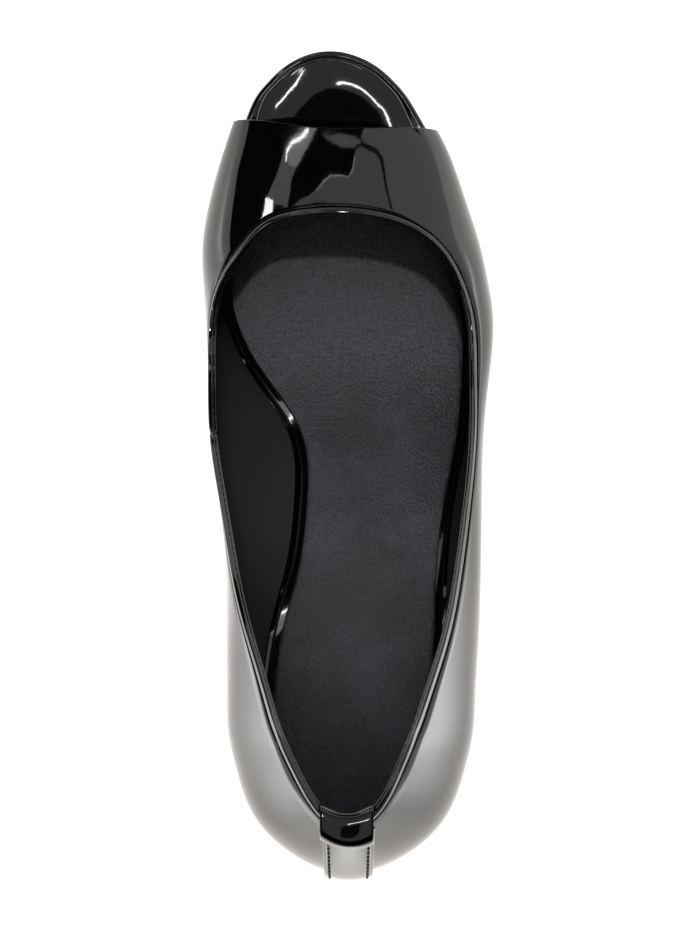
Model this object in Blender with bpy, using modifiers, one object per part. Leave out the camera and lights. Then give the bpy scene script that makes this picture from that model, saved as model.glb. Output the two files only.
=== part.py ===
"""A peep-toe wedge pump for the right foot, in black patent leather.

The toe points along +Y, the outer (little toe) side is +X and the floor is z = 0. Every piece is read from
one last: a table of wall sections from the toe tip round to the back of the heel, a profile of the seat
and a line for the collar. All of them are in per cent of four driving sizes, so a new size moves them all.
"""

import math

import bpy
import numpy as np

MM = 0.001

# Driving sizes of the last, EU 39.
LENGTH = 237.0 * MM  # toe tip to the back of the heel strip, on the floor
BALL_WIDTH = 86.4 * MM  # across the upper at the ball
INSTEP = 35.0 * MM  # crest of the vamp over the feather edge, at the throat
HEEL_HEIGHT = 86.5 * MM  # floor to the feather edge at the back
PLATFORM = 16.0 * MM  # floor to the feather edge under the ball

# Gauges of the pieces.
WALL = 1.8 * MM  # upper: patent leather and lining
GAP = 0.3 * MM  # between two pieces that are glued or sewn together
OUTSOLE_GAUGE = 3.0 * MM
OUTSOLE_INSET = 0.6 * MM
TOE_SPRING = 9.0 * MM
ARCH_RISE = 3.0 * MM
RIM_LEDGE = 1.2 * MM  # how far the wedge stands out past the feather edge
RIM_ROUND = 1.6 * MM
FOOTBED_GAUGE = 3.0 * MM
FOOTBED_INSET = WALL + 0.5 * MM
FOOTBED_ROUND = 1.3 * MM
SOCK_GAUGE = 1.0 * MM
SOCK_INSET = 2.2 * MM
BINDING_RADIUS = 1.1 * MM
STRIP_WIDTH = 12.4 * MM
STRIP_GAUGE = 1.4 * MM
KEEPER_WIDTH = 13.4 * MM
KEEPER_GAUGE = 1.0 * MM
KEEPER_IN, KEEPER_OUT = 5.3 * MM, 2.8 * MM  # how far it reaches forward and back from the collar's edge
KEEPER_LIFT, KEEPER_LIP, KEEPER_LEG = 4.4 * MM, 1.2 * MM, 1.5 * MM  # top and lip above the edge, leg below
KEEPER_FLARE = 0.9 * MM  # how far the end of its lip stands out
KEEPER_BOW = 2.0 * MM  # how far its two ends curve forward
KEEPER_SLANT = 0.1  # how much further back the lip hangs towards the little toe side

# What the pieces are made of: colour and roughness.
STUFFS = {
    "patent": ((0.012, 0.012, 0.013), 0.08),
    "leather": ((0.022, 0.021, 0.024), 0.45),
    "rubber": ((0.018, 0.018, 0.018), 0.7),
}

# Stretches of the floor line, in per cent of LENGTH from the back of the heel.
HEEL_TREAD_END = 26.0
BALL_TREAD_START = 54.0
BALL_TREAD_END = 78.0

# One row for each section of the last, from the toe tip to the back of the heel.
#   reach     distance unrolled along the wall, % of LENGTH; the same as along where turn is 0
#   along     the section's place on the shoe's length, % of LENGTH from the back of the heel
#   turn      degrees that the section's plane swings to the front (+) or to the back (-)
#   spine     sideways place of its middle, % of BALL_WIDTH
#   feather, girth, tread   half widths at the feather edge, at the widest point of the wall and
#             on the floor, % of BALL_WIDTH; in is the arch side and out the little toe side
#   swell, crest   heights of the widest point and of the top of the arch, % of INSTEP
#   tent      how straight the wall runs up from its widest point: 0 a round arch, 1 a tent
COLUMNS = ("reach", "along", "turn", "spine", "feather_in", "feather_out", "girth",
           "swell", "crest_in", "crest_out", "tent", "tread_in", "tread_out")
SECTIONS = (
    (105.6, 93.7, 90, -6.4, 16.2, 16.2, 20.8, 26, 49, 49, 0.0, 13.9, 13.9),  # toe tip
    (102.4, 93.7, 60, -6.5, 17.0, 17.0, 22.0, 26, 49, 49, 0.0, 14.9, 14.9),
    (98.6, 93.7, 30, -6.6, 19.7, 20.2, 25.5, 26, 51, 51, 0.0, 17.7, 18.2),
    (96.5, 93.7, 15, -6.4, 22.3, 22.8, 28.2, 26, 53, 53, 0.0, 20.3, 20.8),
    (93.7, 93.7, 0, -6.1, 26.4, 26.7, 31.6, 26, 57, 57, 0.0, 24.2, 24.5),
    (88.9, 88.9, 0, -4.8, 32.9, 33.1, 36.8, 29, 71, 71, 0.0, 30.7, 30.9),  # peep edge
    (81.0, 81.0, 0, -3.8, 39.4, 38.4, 43.7, 30, 94, 94, 0.0, 37.4, 36.5),  # vamp
    (73.4, 73.4, 0, -2.0, 44.9, 42.8, 48.6, 33, 114, 112, 0.0, 42.8, 40.9),
    (65.8, 65.8, 0, 0.3, 45.5, 45.1, 50.0, 36, 163, 110, 0.0, 43.5, 43.2),  # ball
    (58.2, 58.2, 0, 0.2, 35.4, 44.6, 48.2, 43, 218, 108, 0.0, 36.5, 42.4),
    (50.6, 50.6, 0, -0.4, 21.1, 43.0, 45.9, 51, 281, 133, 0.1, 27.8, 41.0),  # waist
    (43.0, 43.0, 0, 0.7, 19.9, 37.3, 43.3, 57, 289, 152, 0.3, 25.5, 36.5),
    (35.4, 35.4, 0, 1.6, 23.0, 33.1, 41.3, 57, 295, 170, 0.6, 26.0, 33.0),
    (27.0, 27.0, 0, 1.4, 28.6, 31.8, 40.2, 50, 255, 208, 1.0, 28.4, 30.7),  # heel
    (19.0, 19.0, 0, 0.8, 30.9, 31.6, 39.1, 47, 228, 200, 1.0, 29.2, 29.6),
    (13.2, 19.0, -22, 0.7, 33.6, 34.0, 39.7, 46, 222, 201, 1.0, 31.0, 31.2),
    (7.3, 19.0, -45, 0.6, 39.5, 39.5, 43.8, 46, 213, 200, 1.0, 34.8, 34.8),
    (0.4, 19.0, -68, 0.4, 44.6, 44.6, 47.4, 46, 235, 228, 1.0, 37.0, 37.0),
    (-6.5, 19.0, -90, 0.0, 48.2, 48.2, 49.6, 46, 255, 255, 1.0, 37.5, 37.5),  # back of the heel
)
TENT_ROUND = 0.35  # how widely a tent is rounded off at its widest point

# The seat, which the foot stands on: % of LENGTH, and height in % of the rise from ball to heel.
SEAT_COLUMNS = ("along", "rise")
SEAT = (
    (1.0, 100.0), (11.4, 94.3), (21.9, 83.7), (32.5, 66.0), (43.0, 42.6), (53.6, 19.9),
    (64.1, 5.0), (74.7, 0.0), (85.2, 1.1), (93.7, 5.7), (100.0, 11.3),
)

# The collar line: where it cuts the arch of each section, in degrees from the widest point (0) to the
# crest (90), on the arch side and on the little toe side. It meets itself at the throat.
COLLAR_COLUMNS = ("reach", "angle_in", "angle_out")
COLLAR = (
    (-6.5, 31.3, 31.3), (0.4, 33.4, 34.4), (7.3, 35.8, 38.0), (13.2, 33.9, 37.0), (16.0, 32.8, 36.2),
    (19.0, 30.0, 33.7), (27.0, 19.3, 23.8), (35.4, 11.4, 20.4), (43.0, 7.3, 18.0), (50.6, 6.0, 17.0),
    (58.2, 8.9, 24.6), (65.8, 17.5, 31.3), (71.0, 32.0, 37.0), (74.7, 45.0, 45.2), (77.4, 57.0, 60.0),
    (78.9, 90.0, 90.0),
)
FEATHER_ANGLE = -90.0
CREST_ANGLE = 90.0
CREST_PARTS, CREST_MEETS = 70.0, 78.0  # reach between which both crests run together, before the throat
DEGREES_TO_REACH = 0.17  # weighs the collar's angle against its reach when it is spaced out
COLLAR_KNEE = 0.78  # share of the collar that lies behind the corners of the peep edge

# The peep edge, % of LENGTH: at the arch side, over the toes and at the little toe side.
PEEP_IN, PEEP_CREST, PEEP_OUT = 90.6, 88.9, 89.4

SOCK_FRONT = 82.5  # front end of the sock, % of LENGTH

# How finely the solids are cut.
SIDE_RIBS = 26
PEEP_RIBS = 10
RIB_STEPS = 8
OUTLINE_STEPS = 34
WEDGE_LEVELS = (0.0, 0.2, 0.45, 0.7, 0.9)
COLLAR_SHARES = np.concatenate([
    np.linspace(0, COLLAR_KNEE, SIDE_RIBS + 1),
    np.linspace(COLLAR_KNEE, 1, PEEP_RIBS + 1)[1:],
])

IN, OUT = -1, 1  # the arch side and the little toe side


def spline(knots, values, flat_ends=False):
    """A smooth curve through values at knots; its ends are level, or else free to lean."""
    order = np.argsort(knots)
    x = np.asarray(knots, float)[order]
    y = np.asarray(values, float)[order]
    h = np.diff(x)
    slope = np.diff(y) / h
    n = len(x)
    matrix = np.zeros((n, n))
    right = np.zeros(n)
    for i in range(1, n - 1):
        matrix[i, i - 1:i + 2] = h[i - 1], 2 * (h[i - 1] + h[i]), h[i]
        right[i] = 6 * (slope[i] - slope[i - 1])
    matrix[0, 0] = matrix[-1, -1] = 1.0
    if flat_ends:
        matrix[0, :2] = 2 * h[0], h[0]
        matrix[-1, -2:] = h[-1], 2 * h[-1]
        right[0], right[-1] = 6 * slope[0], -6 * slope[-1]
    bend = np.linalg.solve(matrix, right)

    def at(t):
        t = np.clip(np.asarray(t, float), x[0], x[-1])
        i = np.clip(np.searchsorted(x, t) - 1, 0, n - 2)
        a = (x[i + 1] - t) / h[i]
        b = 1 - a
        curve = ((a**3 - a) * bend[i] + (b**3 - b) * bend[i + 1]) * h[i] ** 2 / 6
        return a * y[i] + b * y[i + 1] + curve

    return at


def table(rows, columns):
    return {name: np.array([row[i] for row in rows], float) for i, name in enumerate(columns)}


def last_curves():
    """A curve over the reach for each column of the sections, in metres and radians."""
    rows = table(SECTIONS, COLUMNS)
    unit = dict.fromkeys(COLUMNS, BALL_WIDTH / 100)
    unit.update(along=LENGTH / 100, turn=math.pi / 180, tent=1.0)
    unit.update(dict.fromkeys(("swell", "crest_in", "crest_out"), INSTEP / 100))
    return {
        name: spline(rows["reach"], rows[name] * unit[name], flat_ends=name != "turn")
        for name in COLUMNS[1:]
    }


LAST = last_curves()
SEAT_ROWS = table(SEAT, SEAT_COLUMNS)
SEAT_CURVE = spline(SEAT_ROWS["along"] * LENGTH / 100, SEAT_ROWS["rise"] / 100)
BACK_REACH, TIP_REACH = SECTIONS[-1][0], SECTIONS[0][0]
MIDDLE = LENGTH / 2


def seat_height(along):
    return PLATFORM + (HEEL_HEIGHT - PLATFORM) * SEAT_CURVE(along)


def floor_height(along):
    """The underside: flat under heel and ball, a low arch between them and a sprung toe."""
    percent = along / LENGTH * 100
    spring = np.clip((percent - BALL_TREAD_END) / (100 - BALL_TREAD_END), 0, 1.2) ** 2 * TOE_SPRING
    share = np.clip((percent - HEEL_TREAD_END) / (BALL_TREAD_START - HEEL_TREAD_END), 0, 1)
    return spring + ARCH_RISE * np.sin(math.pi * share) ** 2


def wall_point(reach, side, angle):
    """A point on the outside of the upper: angle -90 is the feather edge, 0 the widest, 90 the crest."""
    reach, angle = np.broadcast_arrays(np.asarray(reach, float), np.asarray(angle, float))
    half = "in" if side == IN else "out"
    at = {name: curve(reach) for name, curve in LAST.items()}
    feather, girth, swell, crest = at["feather_" + half], at["girth"], at["swell"], at["crest_" + half]
    meet = np.clip((reach - CREST_PARTS) / (CREST_MEETS - CREST_PARTS), 0, 1)
    crest = crest + ((at["crest_in"] + at["crest_out"]) / 2 - crest) * meet**2 * (3 - 2 * meet)
    low = np.clip(1 + angle / 90, 0, 1)
    high = np.radians(np.clip(angle, 0, 90))
    fall = np.hypot(np.sin(high), TENT_ROUND) - TENT_ROUND
    tent = 1 - fall / (math.hypot(1, TENT_ROUND) - TENT_ROUND)
    arch = girth * (np.cos(high) + (tent - np.cos(high)) * at["tent"])
    out = np.where(angle < 0, feather + (girth - feather) * (1 - (1 - low) ** 2), arch)
    up = np.where(angle < 0, swell * low, swell + (crest - swell) * np.sin(high))
    x = at["spine"] + side * out * np.cos(at["turn"])
    along = at["along"] + out * np.sin(at["turn"])
    base = seat_height(at["along"] + feather * np.sin(at["turn"]))
    return np.stack([x, along - MIDDLE, base + GAP + up], axis=-1)


def wall_frame(reach, side, angle):
    """(point, outward direction, direction up the wall) on the outside of the upper."""
    step = 0.05
    point = wall_point(reach, side, angle)
    up = wall_point(reach, side, angle + step) - wall_point(reach, side, angle - step)
    back = np.maximum(np.asarray(reach) - step, BACK_REACH)
    along = wall_point(np.asarray(reach) + step, side, angle) - wall_point(back, side, angle)
    outward = np.cross(along, up) * side
    outward /= np.linalg.norm(outward, axis=-1, keepdims=True)
    up = up / np.linalg.norm(up, axis=-1, keepdims=True)
    return point, outward, up


def collar_curve(side):
    """(reach, angle) of the collar line on one side, over its share from the back (0) to the throat (1)."""
    rows = table(COLLAR, COLLAR_COLUMNS)
    reach = rows["reach"]
    angle = rows["angle_in" if side == IN else "angle_out"]
    steps = np.hypot(np.diff(reach), np.diff(angle) * DEGREES_TO_REACH)
    share = np.concatenate([[0], np.cumsum(steps)]) / steps.sum()
    mirrored = np.concatenate([share, 2 - share[-2::-1]])
    reach_at = spline(mirrored, np.concatenate([reach, reach[-2::-1]]))
    angle_at = spline(mirrored, np.concatenate([angle, 180 - angle[-2::-1]]), flat_ends=True)
    return reach_at, angle_at


def peep_reach(side, angle):
    edge = PEEP_IN if side == IN else PEEP_OUT
    share = np.clip(angle / CREST_ANGLE, 0, 1) ** 1.5
    return PEEP_CREST + (edge - PEEP_CREST) * np.cos(share * math.pi / 2) ** 2


def half_ribs(side):
    """(reach, angle) along each rib of one half of the upper, from the back round to over the toes."""
    edge = PEEP_IN if side == IN else PEEP_OUT
    low_reach = np.linspace(BACK_REACH, edge, SIDE_RIBS + 1)
    low_angle = np.full(SIDE_RIBS + 1, FEATHER_ANGLE)
    peep_angle = np.linspace(FEATHER_ANGLE, CREST_ANGLE, PEEP_RIBS + 1)[1:]
    low_reach = np.concatenate([low_reach, peep_reach(side, peep_angle)])
    low_angle = np.concatenate([low_angle, peep_angle])
    reach_at, angle_at = collar_curve(side)
    up = np.linspace(0, 1, RIB_STEPS + 1)
    reach = np.outer(low_reach, 1 - up) + np.outer(reach_at(COLLAR_SHARES), up)
    angle = np.outer(low_angle, 1 - up) + np.outer(angle_at(COLLAR_SHARES), up)
    return reach, angle


def round_the_upper(of_half):
    """The rows of both halves as one closed loop: up the arch side, over the toes, back on the other."""
    inner, outer = of_half(IN), of_half(OUT)
    return np.concatenate([inner, outer[-2:0:-1]])


def make_material(piece, stuff):
    colour, roughness = STUFFS[stuff]
    material = bpy.data.materials.new(f"{piece}_{stuff}")
    material.use_nodes = True
    shader = material.node_tree.nodes["Principled BSDF"]
    shader.inputs["Base Color"].default_value = (*colour, 1.0)
    shader.inputs["Roughness"].default_value = roughness
    shader.inputs["Metallic"].default_value = 0.0
    return material


def new_mesh_object(name, points, faces, stuff, collection):
    mesh = bpy.data.meshes.new(name)
    mesh.from_pydata([tuple(p) for p in points], [], faces)
    mesh.shade_smooth()
    mesh.materials.append(make_material(name, stuff))
    part = bpy.data.objects.new(name, mesh)
    collection.objects.link(part)
    return part


def grid_faces(rows, columns, wrap_rows=False):
    """Four-sided faces of a grid whose points are stored row by row."""
    faces = []
    for i in range(rows if wrap_rows else rows - 1):
        for j in range(columns - 1):
            here = i * columns + j
            beside = (i + 1) % rows * columns + j
            faces.append((here, beside, beside + 1, here + 1))
    return faces


def solidify(part, gauge, offset):
    shell = part.modifiers.new("gauge", "SOLIDIFY")
    shell.thickness = gauge
    shell.offset = offset
    shell.use_even_offset = True
    shell.use_quality_normals = True


def outline(columns, first_reach, last_reach, steps):
    """A plan outline from the front, down the arch side to the back and up the other side."""
    share = (1 - np.cos(np.linspace(0, math.pi, steps + 1))) / 2
    evened = 0.5 * share + 0.5 * np.linspace(0, 1, steps + 1)
    reach = first_reach + (last_reach - first_reach) * evened
    halves = []
    for side, column in zip((IN, OUT), columns):
        out, turn = LAST[column](reach), LAST["turn"](reach)
        x = LAST["spine"](reach) + side * out * np.cos(turn)
        halves.append(np.stack([x, LAST["along"](reach) + out * np.sin(turn)], axis=-1))
    closed_front = first_reach == TIP_REACH
    return np.concatenate([halves[0], halves[1][-2:(0 if closed_front else None):-1]])


def grown(ring, distance):
    """The outline moved outwards by distance, or inwards where it is negative."""
    tangent = np.roll(ring, -1, axis=0) - np.roll(ring, 1, axis=0)
    tangent /= np.linalg.norm(tangent, axis=1, keepdims=True)
    return ring + distance * np.stack([tangent[:, 1], -tangent[:, 0]], axis=-1)


def raised(ring, height_of, lift):
    """The plan outline in space, lift above the profile height_of."""
    height = height_of(ring[:, 1]) + lift
    return np.column_stack([ring[:, 0], ring[:, 1] - MIDDLE, height])


def cap_faces(count, start, closed_front):
    """Faces across an outline, between each point of the arch side and its partner opposite."""
    half = count // 2
    if closed_front:
        pairs = [(i, (count - i) % count) for i in range(half + 1)]
    else:
        pairs = [(i, count - 1 - i) for i in range(half + 1)]
    faces = []
    for (a, b), (c, d) in zip(pairs, pairs[1:]):
        corners = list(dict.fromkeys((a, c, d, b)))
        faces.append(tuple(start + corner for corner in corners))
    return faces


def stacked_solid(name, rings, stuff, collection, closed_front=True):
    """A closed solid through outlines of equal length, bottom first."""
    count = len(rings[0])
    faces = [tuple(reversed(face)) for face in cap_faces(count, 0, closed_front)]
    for level in range(len(rings) - 1):
        low, high = level * count, (level + 1) * count
        for i in range(count):
            j = (i + 1) % count
            faces.append((low + i, low + j, high + j, high + i))
    faces += cap_faces(count, (len(rings) - 1) * count, closed_front)
    new_mesh_object(name, np.concatenate(rings), faces, stuff, collection)


def make_outsole(collection):
    """Moulded rubber sheet glued under the wedge from toe to heel."""
    ring = grown(outline(("tread_in", "tread_out"), TIP_REACH, BACK_REACH, OUTLINE_STEPS), -OUTSOLE_INSET)
    rings = [raised(ring, floor_height, lift) for lift in (0.0, OUTSOLE_GAUGE)]
    stacked_solid("outsole", rings, "rubber", collection)


def make_wedge(collection):
    """Platform and wedge heel in one block, wrapped in patent leather."""
    tread = outline(("tread_in", "tread_out"), TIP_REACH, BACK_REACH, OUTLINE_STEPS)
    feather = outline(("feather_in", "feather_out"), TIP_REACH, BACK_REACH, OUTLINE_STEPS)
    edge = grown(feather, RIM_LEDGE)
    foot = raised(tread, floor_height, OUTSOLE_GAUGE + GAP)
    brow = raised(edge, seat_height, -RIM_ROUND)
    rings = []
    for level in WEDGE_LEVELS:
        flare = 0.6 * level + 0.4 * level**2
        plan = foot + (brow - foot) * flare
        plan[:, 2] = foot[:, 2] + (brow[:, 2] - foot[:, 2]) * level
        rings.append(plan)
    rings.append(brow)
    rings.append(raised(grown(feather, RIM_LEDGE - 0.3 * RIM_ROUND), seat_height, -0.3 * RIM_ROUND))
    rings.append(raised(grown(feather, RIM_LEDGE - RIM_ROUND), seat_height, 0.0))
    stacked_solid("wedge", rings, "patent", collection)


def footbed_ring(inset, lift):
    feather = outline(("feather_in", "feather_out"), TIP_REACH, BACK_REACH, OUTLINE_STEPS)
    return raised(grown(feather, -FOOTBED_INSET - inset), seat_height, lift)


def make_footbed(collection):
    """Insole board wrapped in patent leather, which shows in the open toe and along the waist."""
    rings = [
        footbed_ring(0.3 * FOOTBED_ROUND, GAP),
        footbed_ring(0.0, GAP + 0.4 * FOOTBED_GAUGE),
        footbed_ring(0.3 * FOOTBED_ROUND, GAP + FOOTBED_GAUGE - 0.4 * FOOTBED_ROUND),
        footbed_ring(FOOTBED_ROUND, GAP + FOOTBED_GAUGE),
    ]
    stacked_solid("footbed", rings, "patent", collection)


def make_sock(collection):
    """Leather sock stuck on the footbed, from the heel to under the vamp."""
    feather = outline(("feather_in", "feather_out"), SOCK_FRONT, BACK_REACH, OUTLINE_STEPS)
    ring = grown(feather, -FOOTBED_INSET - SOCK_INSET)
    bottom = FOOTBED_GAUGE + 2 * GAP
    rings = [raised(ring, seat_height, bottom + lift) for lift in (0.0, SOCK_GAUGE)]
    stacked_solid("sock", rings, "leather", collection, closed_front=False)


def outside_of_half(side):
    """Points along the ribs of one half; past the crest an angle is read on the other half."""
    reach, angle = half_ribs(side)
    here = wall_point(reach, side, np.minimum(angle, 90))
    there = wall_point(reach, -side, 180 - np.maximum(angle, 90))
    return np.where((angle > 90)[..., None], there, here)


def make_upper(collection):
    """Vamp and quarters, open at the collar, over the toes and underneath."""
    points = round_the_upper(outside_of_half)
    faces = [tuple(reversed(face)) for face in grid_faces(len(points), RIB_STEPS + 1, wrap_rows=True)]
    upper = new_mesh_object("upper", points.reshape(-1, 3), faces, "patent", collection)
    solidify(upper, WALL, -1.0)


def make_binding(collection):
    """Rolled edge sewn along the collar, all the way round."""

    def collar(side):
        reach_at, angle_at = collar_curve(side)
        point, outward, _ = wall_frame(reach_at(COLLAR_SHARES), side, angle_at(COLLAR_SHARES))
        return np.concatenate([point, outward], axis=1)

    line = round_the_upper(collar)
    edge, outward = line[:, :3], line[:, 3:]
    ahead = np.roll(edge, -1, axis=0) - np.roll(edge, 1, axis=0)
    up = np.cross(ahead, outward)
    up /= np.linalg.norm(up, axis=1, keepdims=True)
    path = edge - outward * WALL / 2 + up * (GAP + BINDING_RADIUS)
    curve = bpy.data.curves.new("collar_binding", "CURVE")
    curve.dimensions = "3D"
    curve.bevel_depth = BINDING_RADIUS
    curve.bevel_resolution = 2
    bead = curve.splines.new("POLY")
    bead.points.add(len(path) - 1)
    for point, place in zip(bead.points, path):
        point.co = (*place, 1.0)
    bead.use_cyclic_u = True
    curve.materials.append(make_material("collar_binding", "patent"))
    binding = bpy.data.objects.new("collar_binding", curve)
    collection.objects.link(binding)


def across_the_back(offset, drop):
    """(point, outward, up) on the back of the heel: offset sideways, and drop degrees below the collar."""
    side = IN if offset < 0 else OUT
    reach_at, angle_at = collar_curve(side)
    shares = np.linspace(0, 0.3, 61)
    angle = COLLAR[0][1] - drop
    near = wall_point(BACK_REACH + 1.0, side, angle)
    pace = np.linalg.norm(near - wall_point(BACK_REACH, side, angle), axis=-1)
    reach = BACK_REACH + abs(offset) / pace
    return wall_frame(reach, side, np.interp(reach, reach_at(shares), angle_at(shares)) - drop)


def make_back_strip(collection):
    """Two-layer patent strip sewn down the back of the heel."""
    drops = np.linspace(COLLAR[0][1] - FEATHER_ANGLE - 2.0, 0, 15)
    columns = np.linspace(-STRIP_WIDTH / 2, STRIP_WIDTH / 2, 7)
    rows = []
    for offset in columns:
        point, outward, _ = across_the_back(offset, drops)
        rows.append(point + outward * GAP)
    faces = grid_faces(len(columns), len(drops))
    strip = new_mesh_object("back_strip", np.concatenate(rows), faces, "patent", collection)
    solidify(strip, STRIP_GAUGE, 1.0)


def make_keeper(collection):
    """Patent tab folded over the collar at the back: a leg inside, a flat top and a lip over the strip."""
    edge = wall_point(BACK_REACH, OUT, COLLAR[0][1])
    turns = np.radians(np.linspace(180, 0, 13))
    bend = np.sign(np.cos(turns)) * np.sqrt(np.abs(np.cos(turns)))
    height = np.sqrt(np.abs(np.sin(turns)))
    flare = KEEPER_FLARE * np.clip(bend, 0, 1) * (1 - height) ** 2
    rise = KEEPER_LIP + (KEEPER_LIFT - KEEPER_LIP) * height
    rise = np.concatenate([[-KEEPER_LEG, (KEEPER_LIP - KEEPER_LEG) / 2], rise])
    rows = []
    columns = np.linspace(-KEEPER_WIDTH / 2, KEEPER_WIDTH / 2, 7)
    for offset in columns:
        bow = KEEPER_BOW * (2 * offset / KEEPER_WIDTH) ** 2
        lip = KEEPER_OUT + KEEPER_SLANT * offset
        back = (lip - KEEPER_IN) / 2 + (lip + KEEPER_IN) / 2 * bend + flare
        back = np.concatenate([[-KEEPER_IN, -KEEPER_IN], back])
        rows.append(edge + np.column_stack([np.full(len(rise), offset), bow - back, rise]))
    faces = grid_faces(len(columns), len(rise))
    keeper = new_mesh_object("back_keeper", np.concatenate(rows), faces, "patent", collection)
    solidify(keeper, KEEPER_GAUGE, 0.0)


def main():
    for old in list(bpy.data.objects):
        bpy.data.objects.remove(old)
    shoe = bpy.data.collections.new("wedge_pump")
    bpy.context.scene.collection.children.link(shoe)
    make_outsole(shoe)
    make_wedge(shoe)
    make_footbed(shoe)
    make_sock(shoe)
    make_upper(shoe)
    make_binding(shoe)
    make_back_strip(shoe)
    make_keeper(shoe)


main()
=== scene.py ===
"""A peep-toe wedge pump for the right foot, in black patent leather, with its looks.

The toe points along +Y, the little toe side is +X, the floor is z = 0 and lengths are in metres. The pieces
come in the order in which the shoe is put together, from the outsole to the tab at the back, then the set.
"""

import math

import bmesh
import bpy
import numpy as np
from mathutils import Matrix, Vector


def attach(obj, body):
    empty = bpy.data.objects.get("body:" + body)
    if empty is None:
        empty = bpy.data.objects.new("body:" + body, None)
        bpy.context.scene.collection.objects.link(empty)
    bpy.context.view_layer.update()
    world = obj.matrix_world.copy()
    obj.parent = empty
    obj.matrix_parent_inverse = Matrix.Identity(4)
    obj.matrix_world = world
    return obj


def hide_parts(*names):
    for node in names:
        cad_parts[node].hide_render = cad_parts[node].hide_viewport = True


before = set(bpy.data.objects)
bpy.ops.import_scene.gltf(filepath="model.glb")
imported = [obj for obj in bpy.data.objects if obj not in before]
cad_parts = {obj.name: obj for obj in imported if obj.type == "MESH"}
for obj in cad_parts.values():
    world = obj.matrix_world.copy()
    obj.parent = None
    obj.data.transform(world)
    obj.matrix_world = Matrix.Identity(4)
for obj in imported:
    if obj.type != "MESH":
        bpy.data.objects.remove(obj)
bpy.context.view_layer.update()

# Outsole: a thin sheet of moulded rubber under the whole shoe, glued to the wedge. It is flat under heel
# and ball, with a low arch between them and a sprung toe, and has fine ribs moulded across both treads.
MM = 0.001
LENGTH = 237.0 * MM  # toe tip to the back of the heel strip, on the floor
BALL_WIDTH = 86.4 * MM  # across the upper at the ball
MIDDLE = LENGTH / 2
OUTSOLE_GAUGE = 3.0 * MM
OUTSOLE_INSET = 0.6 * MM
TOE_SPRING = 9.0 * MM
ARCH_RISE = 3.0 * MM
HEEL_TREAD_END, BALL_TREAD_START, BALL_TREAD_END = 26.0, 54.0, 78.0  # % of LENGTH from the back
TREAD_PITCH = 4.0 * MM
TREAD_DEPTH = 0.6 * MM
TREAD_BACK, TREAD_FRONT = 3.0, 92.0  # where the ribs start and end, % of LENGTH
TREAD_RAMP, TREAD_TOE_RAMP = 2.0, 4.0  # % of LENGTH over which they fade out, and at the toe
TREAD_BOW = 6.0 * MM  # how much further back a rib lies at the edges than in the middle
TREAD_BORDER, TREAD_FADE = 0.1, 0.05  # shares of the width that stay smooth and that fade along each edge
GROOVE_STEEP, GROOVE_NARROW = 3.0, 1.2  # how steep the sides of a groove are, and how narrow it is
OUTSOLE_EDGE = ((0.5, 0.0), (0.15, 0.15), (0.0, 0.5), (0.0, 2.5), (0.15, 2.85), (0.5, 3.0))  # inset, lift, mm

# The plan of the last, a row for each section from the toe tip to the back of the heel.
#   reach   distance unrolled along the wall, % of LENGTH; along   its place on the shoe's length, % of LENGTH
#   turn    degrees that the section swings to the front (+) or the back (-)
#   spine, tread   sideways place of its middle and half widths on the floor, % of BALL_WIDTH
PLAN_COLUMNS = ("reach", "along", "turn", "spine", "tread_in", "tread_out")
PLAN = (
    (105.6, 93.7, 90, -6.4, 13.9, 13.9),
    (102.4, 93.7, 60, -6.5, 14.9, 14.9),
    (98.6, 93.7, 30, -6.6, 17.7, 18.2),
    (96.5, 93.7, 15, -6.4, 20.3, 20.8),
    (93.7, 93.7, 0, -6.1, 24.2, 24.5),
    (88.9, 88.9, 0, -4.8, 30.7, 30.9),
    (81.0, 81.0, 0, -3.8, 37.4, 36.5),
    (73.4, 73.4, 0, -2.0, 42.8, 40.9),
    (65.8, 65.8, 0, 0.3, 43.5, 43.2),
    (58.2, 58.2, 0, 0.2, 36.5, 42.4),
    (50.6, 50.6, 0, -0.4, 27.8, 41.0),
    (43.0, 43.0, 0, 0.7, 25.5, 36.5),
    (35.4, 35.4, 0, 1.6, 26.0, 33.0),
    (27.0, 27.0, 0, 1.4, 28.4, 30.7),
    (19.0, 19.0, 0, 0.8, 29.2, 29.6),
    (13.2, 19.0, -22, 0.7, 31.0, 31.2),
    (7.3, 19.0, -45, 0.6, 34.8, 34.8),
    (0.4, 19.0, -68, 0.4, 37.0, 37.0),
    (-6.5, 19.0, -90, 0.0, 37.5, 37.5),
)
REACHES = [row[0] for row in PLAN]
TIP_REACH, BACK_REACH = REACHES[0], REACHES[-1]
IN, OUT = -1, 1  # the arch side and the little toe side


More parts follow.
